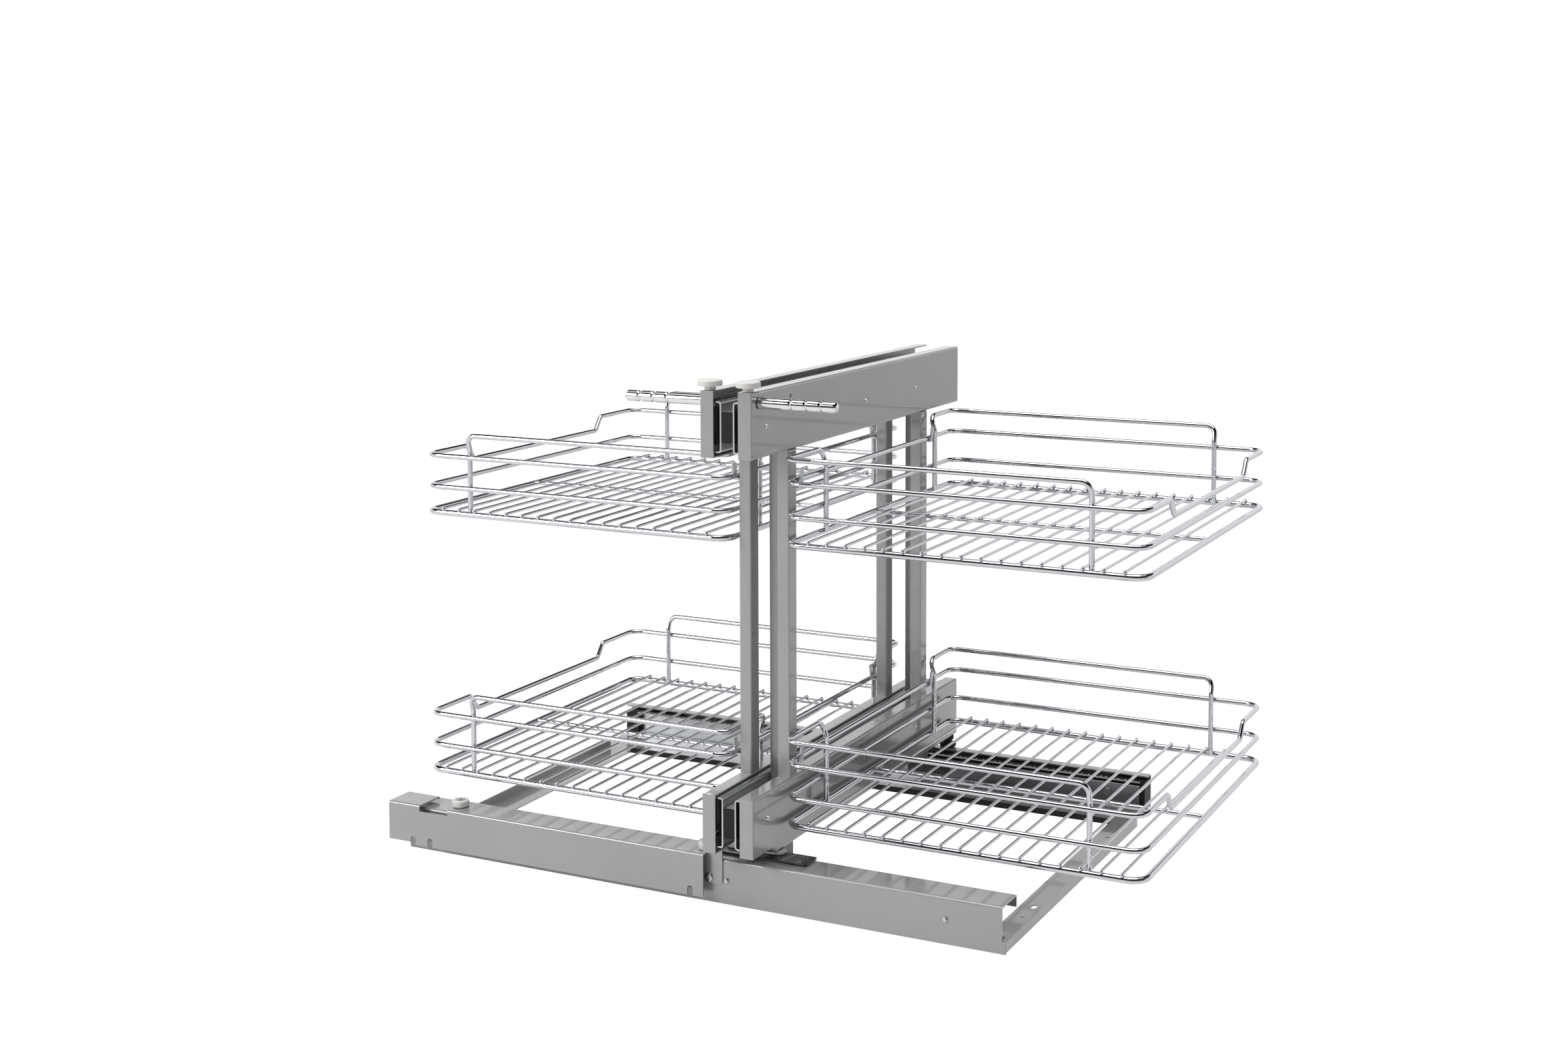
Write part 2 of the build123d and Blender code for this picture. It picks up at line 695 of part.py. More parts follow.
pull_slide_rails = make_fixed_members()
save(pull_slide_rails, "pull_slide_rails")


def make_middle_members(side):
    # An I section that runs inside both the fixed and the moving member
    with BuildPart() as members:
        for axis_z in levels:
            with BuildSketch(slide_plane(side, front_y + middle_slide_front_y, axis_z)):
                with Locations((slide_depth / 2, 0)):
                    Rectangle(slide_depth - 2 * (pull_slide_sheet + 0.8), 2 * middle_half)
                    for flank in (-1, 1):
                        with Locations((flank * slide_depth / 4, 0)):
                            Rectangle(slide_depth / 2 - pull_slide_sheet, 2 * (middle_half - pull_slide_sheet),
                                      mode=Mode.SUBTRACT)
            along_slide(side, slide_length - middle_slide_front_y + pull_slide_front_y)
    return members


def make_ball_cages(side):
    with BuildPart() as cages:
        for axis_z in levels:
            for up in (-1, 1):
                start = Vector(carriage_rest_x + side * (half_tube + 0.66 * outer_slide_depth), front_y + middle_slide_front_y,
                               axis_z + up * ball_track)
                add_ball_strip(start, Vector(0, 1, 0), slide_length - unit_travel / 2 - 16.0, pull_ball_d,
                               3.4, Vector(1, 0, 0))
    return cages


def make_moving_members(side):
    with BuildPart() as members:
        for axis_z in levels:
            with BuildSketch(slide_plane(side, front_y + inner_slide_front_y, axis_z)):
                c_section(slide_depth, outer_slide_depth, pull_slide_height, pull_slide_sheet, -1)
            along_slide(side, slide_length - inner_slide_front_y + pull_slide_front_y)
    return members


# Units: channels, posts, hooks, handles, rollers, feet and rivets

def make_channel(z_bottom, z_top, step=0.0, overrun=0.0):
    # Right-hand channel: its web outside, open toward the centre tube, closed at the front
    x_inner = carriage_rest_x + channel_inner_x
    x_outer = carriage_rest_x + channel_outer_x
    with BuildPart() as channel:
        with BuildSketch(Plane.XZ.offset(-front_y)):
            folded_strip(((x_inner, z_bottom - step), (x_outer, z_bottom - step),
                          (x_outer, z_top), (x_inner, z_top))[::-1], channel_sheet, channel_bend)
        extrude(amount=-channel_length)
        if step > 0:
            block((x_inner - 1, x_outer + 1), (front_y - 1, front_y + lower_channel_step_y),
                  (z_bottom - step - 1, z_bottom), Mode.SUBTRACT)
            # The floor of the channel is higher at its front end
            step_y = front_y + lower_channel_step_y
            block((x_inner, x_outer - channel_sheet / 2), (front_y, step_y + channel_sheet),
                  (z_bottom, z_bottom + channel_sheet))
            block((x_inner, x_outer - channel_sheet / 2), (step_y, step_y + channel_sheet),
                  (z_bottom - step, z_bottom + channel_sheet))
            block((x_inner, x_outer), (step_y - lower_channel_lip, step_y + channel_sheet),
                  (z_bottom - step, z_bottom - step + channel_sheet))
        block((x_inner, x_outer), (front_y, front_y + channel_sheet), (z_bottom, z_top))
        fillet(channel.edges().filter_by(Axis.Z).group_by(Axis.Y)[0].sort_by(Axis.X)[-1], channel_sheet * 0.9)
        if overrun > 0:
            block((x_inner, x_outer - channel_bend), (rear_y - 1, rear_y + overrun),
                  (z_top - channel_sheet, z_top))
    return channel


def make_post(post_front_y, hook_z_levels):
    x_outer = carriage_rest_x + channel_outer_x
    centre_x = carriage_rest_x + (post_inner_x + channel_outer_x) / 2
    centre_y = post_front_y + post_depth / 2
    width = channel_outer_x - post_inner_x
    with BuildPart() as post:
        with BuildSketch(Plane.XY.offset(post_bottom_z)):
            with Locations((centre_x, centre_y)):
                RectangleRounded(width, post_depth, 1.6)
                RectangleRounded(width - 2 * post_wall, post_depth - 2 * post_wall, 0.5, mode=Mode.SUBTRACT)
        extrude(amount=post_top_z - post_bottom_z)
        for hook_z in hook_z_levels:
            slot_z = hook_z - side_ring_r - hook_sheet / 2
            block((x_outer - post_wall, x_outer), (centre_y - post_slot_width / 2, centre_y + post_slot_width / 2),
                  (slot_z - post_slot_height / 2, slot_z + post_slot_height / 2), Mode.SUBTRACT)
    return post


basket_levels = (lower_basket_z, lower_basket_z + tier_spacing)
hook_levels = tuple(z + upper_ring_rise for z in basket_levels)
post_places = (front_y + front_post_y, rear_y - rear_post_setback - post_depth)


def make_basket_hooks():
    # Each hook reaches out of a post's slot, under the ring and up outside it
    x_post = carriage_rest_x + channel_outer_x - post_wall
    x_wire = carriage_rest_x + basket_inner_x
    with BuildPart() as hooks:
        for post_y in post_places:
            for hook_z in hook_levels:
                under_z = hook_z - side_ring_r - 0.1
                with BuildSketch(Plane.XZ.offset(-(post_y + (post_depth - hook_width) / 2))):
                    with BuildLine():
                        FilletPolyline((x_post, under_z), (x_wire + side_ring_r + 0.3, under_z),
                                       (x_wire + side_ring_r + 1.8, under_z + side_ring_r + hook_rise),
                                       radius=0.8)
                        offset(amount=hook_sheet, side=Side.RIGHT)
                    make_face()
                extrude(amount=-hook_width)
        fillet(hooks.edges().filter_by(Axis.X, tolerance=12).group_by(Axis.Z)[-1], 0.4)
    return hooks


def make_handle(reach):
    # A turned rod with three grooves, a domed end and a collar inside the channel
    axis_z = upper_axis_z + handle_above_axis
    root_x = channel_outer_x - channel_sheet
    with BuildPart() as handle:
        with BuildSketch(Plane(origin=(carriage_rest_x, front_y + handle_y, axis_z), x_dir=(1, 0, 0),
                               z_dir=(0, -1, 0))):
            with BuildLine():
                start = (root_x - handle_collar_length, 0)
                points = [start, (start[0], handle_collar_r), (root_x, handle_collar_r), (root_x, handle_r)]
                for step in (3, 2, 1):
                    groove_x = reach - step * handle_groove_pitch - 1.3
                    points.append((groove_x - handle_groove_width / 2, handle_r))
                    points.append((groove_x - handle_groove_width / 6, handle_r - handle_groove_depth))
                    points.append((groove_x + handle_groove_width / 6, handle_r - handle_groove_depth))
                    points.append((groove_x + handle_groove_width / 2, handle_r))
                points.append((reach - handle_dome, handle_r))
                Polyline(*points)
                # The domed end is a ball's cap
                ball_r = (handle_r ** 2 + handle_dome ** 2) / (2 * handle_dome)
                half_r = handle_r / 2
                middle = (reach - ball_r + sqrt(ball_r ** 2 - half_r ** 2), half_r)
                ThreePointArc((reach - handle_dome, handle_r), middle, (reach, 0))
                Line((reach, 0), start)
            make_face()
        revolve(axis=Axis((carriage_rest_x, front_y + handle_y, axis_z), (1, 0, 0)))
    return handle


def make_top_roller():
    x = carriage_rest_x + (channel_inner_x + channel_outer_x) / 2
    y = front_y + top_roller_y
    z = upper_axis_z + upper_channel_above + roller_seat_gap
    with BuildPart() as roller:
        upright(x, y, z, top_roller_boss_r, top_roller_boss_height)
        upright(x, y, z + top_roller_boss_height, top_roller_r, top_roller_height)
        fillet(roller.edges().filter_by(GeomType.CIRCLE).group_by(Axis.Z)[-1], 1.6)
        fillet(roller.edges().filter_by(GeomType.CIRCLE).sort_by(SortBy.RADIUS)[-1], 1.2)
        upright(x, y, z, 2.0 + roller_running_gap, top_roller_boss_height + 3.5, Mode.SUBTRACT)
    return roller


def make_rear_foot(channel_bottom_z):
    x = carriage_rest_x + (channel_inner_x + channel_outer_x) / 2 + 1.0
    y = rear_y - rear_foot_setback
    bottom_z = rear_rail_height + rear_foot_gap
    with BuildPart() as foot:
        upright(x, y, bottom_z, rear_foot_r, 5.0)
        fillet(foot.edges().filter_by(GeomType.CIRCLE), 1.8)
        upright(x, y, bottom_z + 4.0, 0.5 * rear_foot_r, channel_bottom_z - bottom_z - 4.0)
        upright(x, y, channel_bottom_z - 4.0, 0.72 * rear_foot_r, 4.0)
    return foot


def make_rivets():
    # Rivets through the webs into the moving slide members, and the roller's pin
    x_outer = carriage_rest_x + channel_outer_x
    with BuildPart() as rivets:
        for axis_z in levels:
            for rivet_y in rivet_places:
                rivet_z = axis_z - (0.4 if axis_z == upper_axis_z else -2.0)
                with BuildSketch(Plane.YZ.offset(x_outer)):
                    with Locations((front_y + rivet_y, rivet_z)):
                        Circle(rivet_r)
                extrude(amount=rivet_head, taper=25)
                with BuildSketch(Plane.YZ.offset(x_outer)):
                    with Locations((front_y + rivet_y, rivet_z)):
                        Circle(0.55 * rivet_r)
                extrude(amount=-channel_sheet)
        x = carriage_rest_x + (channel_inner_x + channel_outer_x) / 2
        upright(x, front_y + top_roller_y, upper_axis_z + upper_channel_above - channel_sheet, 2.0,
                channel_sheet + roller_seat_gap + top_roller_boss_height + 3.2)
    return rivets


def cut_channel_holes(channel, axis_z, upper):
    # Rivet holes, and on the upper channel the handle's hole, a small hole and the roller's hole
    x_web = carriage_rest_x + channel_outer_x - channel_sheet
    rivet_z = axis_z - (0.4 if upper else -2.0)
    with BuildPart() as cut:
        add(channel.part)
        with BuildSketch(Plane.YZ.offset(x_web)):
            with Locations(*[(front_y + y, rivet_z) for y in rivet_places]):
                Circle(0.55 * rivet_r)
        extrude(amount=channel_sheet, mode=Mode.SUBTRACT)
        if upper:
            with BuildSketch(Plane.YZ.offset(x_web)):
                with Locations((front_y + handle_y, axis_z + handle_above_axis)):
                    SlotOverall(2 * handle_r + 4.0, 2 * handle_r + 0.2)
                with Locations((front_y + 82.0, axis_z + handle_above_axis)):
                    Circle(2.0)
            extrude(amount=channel_sheet, mode=Mode.SUBTRACT)
            x = carriage_rest_x + (channel_inner_x + channel_outer_x) / 2
            upright(x, front_y + top_roller_y, axis_z + upper_channel_above - channel_sheet, 2.0,
                    channel_sheet, Mode.SUBTRACT)
    return cut


# Baskets: three wire rings with two hoops, and a floor grid

def make_basket_frame(z):
    x_in = carriage_rest_x + basket_inner_x
    x_out = x_in + basket_width
    y_in = basket_front_y
    y_out = basket_rear_y
    corners = ((x_in, y_in), (x_out, y_in), (x_out, y_out), (x_in, y_out))
    leg_inset = side_ring_r + hoop_r - weld_depth
    with BuildPart() as frame:
        for rise, radius in ((0, floor_ring_r), (middle_ring_rise, side_ring_r)):
            with BuildLine() as ring:
                FilletPolyline(*[(x, y, z + rise) for x, y in corners], radius=basket_corner_r, close=True)
            swept_wire(ring.line, radius)
        # The upper ring dips along the outer side
        top = z + upper_ring_rise
        dip = top - ring_dip
        front_dip = y_in + dip_from_end
        rear_dip = y_out - dip_from_end
        with BuildLine() as ring:
            FilletPolyline((x_in, y_in, top), (x_out, y_in, top), (x_out, front_dip - dip_run / 2, top),
                           (x_out, front_dip + dip_run / 2, dip), (x_out, rear_dip - dip_run / 2, dip),
                           (x_out, rear_dip + dip_run / 2, top), (x_out, y_out, top), (x_in, y_out, top),
                           radius=[basket_corner_r, basket_corner_r, 5, 5, 5, 5, basket_corner_r, basket_corner_r],
                           close=True)
        swept_wire(ring.line, side_ring_r)
        # Each hoop runs from an outer leg across the end and round the inner corner to an inner leg
        for y_end, inward, reach in ((y_in, 1, hoop_reach_front), (y_out, -1, hoop_reach_rear)):
            leg_y = y_end + inward * leg_inset
            leg_x = x_out - hoop_leg_from_outside
            inner_x = x_in + leg_inset
            inner_y = y_end + inward * reach
            hoop_z = z + hoop_rise
            lean_z = hoop_z - hoop_lean
            # The legs stand inside the rings and lean out at their tops, so the hoop is over the rings
            with BuildLine() as hoop:
                FilletPolyline((leg_x, leg_y, z), (leg_x, leg_y, lean_z), (leg_x, y_end, hoop_z),
                               (x_in, y_end, hoop_z), (x_in, inner_y, hoop_z),
                               (inner_x, inner_y, lean_z), (inner_x, inner_y, z), radius=hoop_bend_r)
            swept_wire(hoop.line, hoop_r)
    return frame


def make_basket_floor(z, inner_margin):
    x_in = carriage_rest_x + basket_inner_x
    x_out = x_in + basket_width
    wire_z = z + floor_ring_r + floor_wire_r + weld_gap
    span = basket_width - floor_wire_inner_margin - floor_wire_outer_margin
    count = round(span / floor_wire_pitch)
    length = basket_rear_y - basket_front_y + 2 * floor_wire_overhang
    middle_y = (basket_front_y + basket_rear_y) / 2
    cross_z = wire_z - floor_wire_r - cross_wire_r + weld_depth
    cross_from = x_in + floor_ring_r + weld_gap
    cross_to = x_out - floor_ring_r - weld_gap
    with BuildPart() as grid:
        for step in range(count + 1):
            wire_x = x_in + inner_margin + step * span / count
            with Locations((wire_x, middle_y, wire_z)):
                Cylinder(floor_wire_r, length, rotation=(90, 0, 0))
        with Locations(((cross_from + cross_to) / 2, basket_front_y + cross_wire_from_front, cross_z)):
            Cylinder(cross_wire_r, cross_to - cross_from, rotation=(0, 90, 0))
    return grid


def handed(piece, side):
    # The left unit's pieces mirror the right unit's about the carriage's middle plane
    if side > 0:
        return piece
    with BuildPart() as other_hand:
        add(piece.part)
        mirror(about=middle_x, mode=Mode.REPLACE)
    return other_hand


lower_bottom_z = lower_axis_z - lower_channel_below
for side, hand, reach, step, overrun in ((-1, "left", left_handle_reach, 0.0, left_flange_overrun),
                                         (1, "right", right_handle_reach, lower_channel_step, 0.0)):
    save(make_middle_members(side), f"{hand}_slide_middles")
    save(make_ball_cages(side), f"{hand}_ball_cages")
    save(make_moving_members(side), f"{hand}_slide_runners")
    upper_channel = make_channel(upper_axis_z - upper_channel_below, upper_axis_z + upper_channel_above,
                                 overrun=overrun)
    save(handed(cut_channel_holes(upper_channel, upper_axis_z, True), side), f"{hand}_upper_channel")
    lower_channel = make_channel(lower_bottom_z, lower_axis_z + lower_channel_above, step)
    save(handed(cut_channel_holes(lower_channel, lower_axis_z, False), side), f"{hand}_lower_channel")
    for post_y, place in zip(post_places, ("front", "rear")):
        save(handed(make_post(post_y, hook_levels), side), f"{hand}_{place}_post")
    save(handed(make_basket_hooks(), side), f"{hand}_basket_hooks")
    save(handed(make_handle(reach), side), f"{hand}_handle")
    save(handed(make_top_roller(), side), f"{hand}_top_roller")
    save(handed(make_rear_foot(lower_bottom_z - step), side), f"{hand}_rear_foot")
    save(handed(make_rivets(), side), f"{hand}_rivets")
    inner_margin = floor_wire_inner_margin - (left_floor_wires_inward if side < 0 else 0.0)
    for z, level in zip(basket_levels, ("lower", "upper")):
        save(handed(make_basket_frame(z), side), f"{hand}_{level}_basket_frame")
        save(handed(make_basket_floor(z, inner_margin), side), f"{hand}_{level}_basket_floor")
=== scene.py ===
# %% [markdown]
# # A blind corner pull-out organizer
# The CAD model comes in as a fixed frame: folded sheet rails, a carriage between two pull-out
# units, and four wire baskets. Its shapes are right already, so this lesson is about what they
# are made of, about the small things that CAD left plain, and about light.

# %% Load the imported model
import json
import math
import bmesh
import bpy
from mathutils import Matrix, Vector


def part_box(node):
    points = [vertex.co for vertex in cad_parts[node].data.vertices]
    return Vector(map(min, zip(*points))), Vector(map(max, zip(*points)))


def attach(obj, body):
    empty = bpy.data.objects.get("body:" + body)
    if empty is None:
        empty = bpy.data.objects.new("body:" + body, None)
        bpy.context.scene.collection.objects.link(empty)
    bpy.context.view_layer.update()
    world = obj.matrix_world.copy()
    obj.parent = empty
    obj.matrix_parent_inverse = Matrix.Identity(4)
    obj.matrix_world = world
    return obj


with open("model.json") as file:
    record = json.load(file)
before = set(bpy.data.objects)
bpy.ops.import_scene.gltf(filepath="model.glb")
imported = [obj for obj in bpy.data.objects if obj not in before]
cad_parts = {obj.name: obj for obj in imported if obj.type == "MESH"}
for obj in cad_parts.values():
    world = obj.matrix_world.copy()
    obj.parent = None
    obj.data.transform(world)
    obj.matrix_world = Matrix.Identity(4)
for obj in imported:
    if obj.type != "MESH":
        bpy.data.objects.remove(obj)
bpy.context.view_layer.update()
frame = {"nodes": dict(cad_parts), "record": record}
nodes = frame["nodes"]

# %% [markdown]
# ## The camera
# The photograph was taken from the front right, a little above the top of the unit, with a
# normal lens. The frame was cropped off centre, which the camera's shift repeats. It could be
# turned toward the object instead, but then the uprights would lean.

# %% Camera
camera_data = bpy.data.cameras.new("photo_camera")
camera_data.sensor_width = 36.0
camera_data.lens = 46.83
camera_data.shift_x = -0.0483
camera_data.shift_y = -0.1474
camera_data.clip_end = 60.0
camera = bpy.data.objects.new("photo_camera", camera_data)
bpy.context.scene.collection.objects.link(camera)
camera.location = (1.02065, -1.94601, 0.75119)
camera.rotation_euler = (math.radians(85.91), 0.0, math.radians(25.6))
bpy.context.scene.camera = camera
bpy.context.scene.view_settings.view_transform = "Standard"
print("camera at", tuple(camera.location), "lens", camera_data.lens)

# %% [markdown]
# ## Two small tools for materials
# Colours are picked as sRGB hex values, as on a paint card, and Blender's shaders want linear
# light, so one function converts them. The other adds one node with its settings and links.


# %% Colour and node helpers
def paint_card(code):
    channels = [int(code[i:i + 2], 16) / 255.0 for i in (1, 3, 5)]
    linear = [c / 12.92 if c <= 0.04045 else ((c + 0.055) / 1.055) ** 2.4 for c in channels]
    return (*linear, 1.0)


def add_node(tree, kind, settings=None, values=None, links=None):
    node = tree.nodes.new(kind)
    for name, value in (settings or {}).items():
        setattr(node, name, value)
    for socket, value in (values or {}).items():
        node.inputs[socket].default_value = value
    for socket, source in (links or {}).items():
        tree.links.new(source, node.inputs[socket])
    return node


def new_finish(name):
    finish = bpy.data.materials.new(name)
    finish.use_nodes = True
    tree = finish.node_tree
    shader = tree.nodes["Principled BSDF"]
    position = add_node(tree, "ShaderNodeTexCoord").outputs["Object"]
    return finish, tree, shader, position


def noise_at(tree, position, per_metre, detail):
    noise = add_node(tree, "ShaderNodeTexNoise", values={"Scale": per_metre, "Detail": detail},
                     links={"Vector": position})
    return noise.outputs["Fac"]


def between(tree, noise, low, high):
    # A noise lies mostly between 0.3 and 0.7, and is stretched to lie between low and high
    stretched = add_node(tree, "ShaderNodeMapRange",
                         values={"From Min": 0.3, "From Max": 0.7, "To Min": low, "To Max": high},
                         links={"Value": noise})
    return stretched.outputs["Result"]


def blotches(tree, position, per_metre, low, high):
    # Slow changes across a surface
    return between(tree, noise_at(tree, position, per_metre, 3.0), low, high)


def two_tones(tree, factor, dark, light):
    # Sockets 6 and 7 of this node are its two colours, and output 2 is the mixed one
    mix = add_node(tree, "ShaderNodeMix", settings={"data_type": "RGBA"}, links={0: factor})
    mix.inputs[6].default_value = paint_card(dark)
    mix.inputs[7].default_value = paint_card(light)
    return mix.outputs[2]


def fine_bump(tree, shader, height, depth_m, strength):
    bump = add_node(tree, "ShaderNodeBump", values={"Strength": strength, "Distance": depth_m},
                    links={"Height": height})
    tree.links.new(bump.outputs["Normal"], shader.inputs["Normal"])


print("helpers ready")

# %% [markdown]
# ## Silver-grey powder coat
# The rails, channels, posts and centre frame are cold-rolled steel with a baked epoxy powder
# coat: a mid grey with a little aluminium pigment, satin, with a faint orange peel about 1.5 mm
# across. The pigment makes it part metal, and the smooth resin on top is a thin clear coat.


# %% Powder coat
clouds_per_metre = 6.0
# Orange peel of 1.5 mm needs about 650 waves in a metre
peel_per_metre = 650.0
peel_depth = 0.00003


def orange_peel(tree, shader, position):
    fine_bump(tree, shader, noise_at(tree, position, peel_per_metre, 1.0), peel_depth, 0.35)


def powder_coat(name, dark, light, roughness):
    finish, tree, shader, position = new_finish(name)
    cloud = blotches(tree, position, clouds_per_metre, 0.0, 1.0)
    tree.links.new(two_tones(tree, cloud, dark, light), shader.inputs["Base Color"])
    shader.inputs["Metallic"].default_value = 0.35
    uneven = blotches(tree, position, 40.0, roughness - 0.03, roughness + 0.04)
    tree.links.new(uneven, shader.inputs["Roughness"])
    shader.inputs["Coat Weight"].default_value = 0.8
    shader.inputs["Coat Roughness"].default_value = 0.05
    orange_peel(tree, shader, position)
    return finish


silver_coat = powder_coat("epoxy_powder_coat_silver_grey", "#9B9B9B", "#A3A3A3", 0.3)
# Painted shade: the carriage's foot plate and rear bracket sit in shade under the units, and this dark grey
# paints that shade into their coat
dark_coat = powder_coat("epoxy_powder_coat_painted_shade_dark_grey", "#313131", "#393939", 0.34)
print("made", silver_coat.name, dark_coat.name)

# %% [markdown]
# ## Chrome plate on the basket wires and handles
# Bright nickel-chrome on drawn wire: a mirror that shows the white room and the dark gaps
# between things. Plating is never quite even, so its roughness wanders a little.


# %% Chrome
def chrome_plate(name, colour, roughness):
    finish, tree, shader, position = new_finish(name)
    shader.inputs["Base Color"].default_value = paint_card(colour)
    shader.inputs["Metallic"].default_value = 1.0
    uneven = blotches(tree, position, 90.0, roughness, roughness + 0.03)
    tree.links.new(uneven, shader.inputs["Roughness"])
    # Faint unevenness of drawn wire, drawn at 4 mm so that it shows
    fine_bump(tree, shader, noise_at(tree, position, 250.0, 1.0), 0.00001, 0.06)
    return finish


wire_chrome = chrome_plate("chrome_plated_drawn_wire", "#CDCED2", 0.03)
handle_chrome = chrome_plate("chrome_plated_turned_brass", "#DCDDDF", 0.03)
print("made", wire_chrome.name, handle_chrome.name)

# %% [markdown]
# ## Zinc-plated slide steel
# The slides are rolled from strip and zinc plated: bluish, half matt, with faint lines along
# the rolling direction. The lines are a noise squeezed across the strip and pulled out along it.


# %% Zinc plate
spangles_per_metre = 30.0
# Rolling lines 0.8 mm apart and tens of millimetres long
lines_per_metre_across = 1200.0
lines_per_metre_along = 25.0
along_x, along_y = 0, 1


def zinc_plate(name, dark, light, along):
    finish, tree, shader, position = new_finish(name)
    stretch = [lines_per_metre_across] * 3
    stretch[along] = lines_per_metre_along
    lines_at = add_node(tree, "ShaderNodeMapping", values={"Scale": stretch}, links={"Vector": position})
    lines = noise_at(tree, lines_at.outputs["Vector"], 1.0, 2.0)
    spangle = blotches(tree, position, spangles_per_metre, 0.0, 1.0)
    tree.links.new(two_tones(tree, spangle, dark, light), shader.inputs["Base Color"])
    shader.inputs["Metallic"].default_value = 1.0
    tree.links.new(between(tree, lines, 0.26, 0.4), shader.inputs["Roughness"])
    fine_bump(tree, shader, lines, 0.00002, 0.4)
    return finish


bright_zinc = ("#B8BABC", "#C8CACB")
pull_slide_zinc = zinc_plate("zinc_plated_strip_steel_pull_slides", *bright_zinc, along_y)
cross_slide_zinc = zinc_plate("zinc_plated_strip_steel_cross_slides", "#7F8183", "#8C8E90", along_x)
screw_steel = chrome_plate("nickel_plated_screw_steel", "#C2C3C3", 0.16)
print("made", pull_slide_zinc.name, cross_slide_zinc.name, screw_steel.name)

# %% [markdown]
# ## Plastics and rubber
# Rollers and discs are white acetal, a slightly waxy plastic that light enters a little. Plugs,
# end blocks and ball cages are black moulded polypropylene with a spark-eroded texture. The feet
# are black rubber, duller still.


# %% Plastics
def moulded(name, dark, light, roughness, grain_per_metre, grain_depth, ior=1.49):
    finish, tree, shader, position = new_finish(name)
    flow = blotches(tree, position, 120.0, 0.0, 1.0)
    tree.links.new(two_tones(tree, flow, dark, light), shader.inputs["Base Color"])
    shader.inputs["IOR"].default_value = ior
    shader.inputs["Roughness"].default_value = roughness
    fine_bump(tree, shader, noise_at(tree, position, grain_per_metre, 2.0), grain_depth, 0.4)
    return finish


def set_shader(finish, settings):
    for socket, value in settings.items():
        finish.node_tree.nodes["Principled BSDF"].inputs[socket].default_value = value


white_acetal = moulded("moulded_white_acetal", "#D3D2CF", "#DBDAD7", 0.36, 900.0, 0.00002, 1.48)
set_shader(white_acetal, {"Subsurface Weight": 0.15, "Subsurface Scale": 0.002})
black_plastic = moulded("moulded_black_polypropylene", "#171717", "#202020", 0.46, 2200.0, 0.00004)
set_shader(black_plastic, {"Specular IOR Level": 0.25})
black_rubber = moulded("moulded_black_rubber", "#1F1F1F", "#292929", 0.72, 1500.0, 0.00006, 1.52)
slide_black = ("#1E1E1E", "#262626")
black_coat = powder_coat("black_cathodic_dip_paint", *slide_black, 0.4)
set_shader(black_coat, {"Metallic": 0.0})
print("made", white_acetal.name, black_plastic.name, black_rubber.name, black_coat.name)

# %% [markdown]
# ## The rear slide: black flanges and a web of bright zinc
# The rear slide's flanges are black, and the face of its web toward the front is bright zinc.
# One finish holds both, and the direction that a face points in picks the tone.


# %% Rear slide
def black_and_zinc(name):
    finish, tree, shader, position = new_finish(name)
    facing = add_node(tree, "ShaderNodeTexCoord").outputs["Normal"]
    toward_front = add_node(tree, "ShaderNodeVectorMath", settings={"operation": "DOT_PRODUCT"},
                            values={1: (0.0, -1.0, 0.0)}, links={0: facing}).outputs["Value"]
    is_zinc = add_node(tree, "ShaderNodeMath", settings={"operation": "GREATER_THAN"}, values={1: 0.9},
                       links={0: toward_front}).outputs["Value"]
    zinc = two_tones(tree, blotches(tree, position, spangles_per_metre, 0.0, 1.0), *bright_zinc)
    black = two_tones(tree, blotches(tree, position, clouds_per_metre, 0.0, 1.0), *slide_black)
    both = add_node(tree, "ShaderNodeMix", settings={"data_type": "RGBA"},
                    links={0: is_zinc, 6: black, 7: zinc})
    tree.links.new(both.outputs[2], shader.inputs["Base Color"])
    tree.links.new(is_zinc, shader.inputs["Metallic"])
    shader.inputs["Roughness"].default_value = 0.34
    orange_peel(tree, shader, position)
    return finish


rear_slide_finish = black_and_zinc("black_dip_paint_over_zinc_plate")
print("made", rear_slide_finish.name)

# %% [markdown]
# ## Give every CAD piece its finish
# The record names a material slot for each node, so the finishes are looked up by slot. The
# slides run two ways and their rolling lines follow them, so two slide nodes have finishes of
# their own.

# %% Assign finishes
finish_of_slot = {
    "silver_paint": silver_coat, "dark_coated_sheet": dark_coat, "plated_screw": screw_steel,
    "zinc_slide": pull_slide_zinc, "black_slide": black_coat, "black_plastic": black_plastic,
    "white_plastic": white_acetal, "chrome_handle": handle_chrome, "black_rubber": black_rubber,
    "chrome_wire": wire_chrome}
own_finish = {"cross_slide_runners": cross_slide_zinc, "rear_slide_rail": rear_slide_finish}
slot_of = {entry["node"]: entry["material_slot"] for entry in frame["record"]["subparts"]}
for name, piece in nodes.items():
    piece.data.materials.clear()
    piece.data.materials.append(own_finish.get(name, finish_of_slot[slot_of[name]]))
print("finishes given to", len(nodes), "nodes")

# %% [markdown]
# ## Beads where the floor wires are welded
# The floor wires were melted onto the lowest ring and onto the cross wire, and each joint left
# a small bead. CAD left the wire ends flat. One bead is shaped, then copied to every joint.

# %% Copies of a small model, joined into one piece
def start_clean():
    if bpy.context.object and bpy.context.object.mode != "OBJECT":
        bpy.ops.object.mode_set(mode="OBJECT")
    bpy.ops.object.select_all(action="DESELECT")


def copies(model, moves, name, finish):
    # Each copy is a mesh of its own, set in place by its own move
    start_clean()
    made = []
    for move in moves:
        mesh = model.data.copy()
        mesh.transform(move)
        made.append(bpy.data.objects.new(name, mesh))
        bpy.context.scene.collection.objects.link(made[-1])
        made[-1].select_set(True)
    bpy.context.view_layer.objects.active = made[0]
    bpy.ops.object.join()
    piece = bpy.context.active_object
    piece.data.materials.clear()
    piece.data.materials.append(finish)
    return piece


def discard(model):
    bpy.data.objects.remove(model, do_unlink=True)


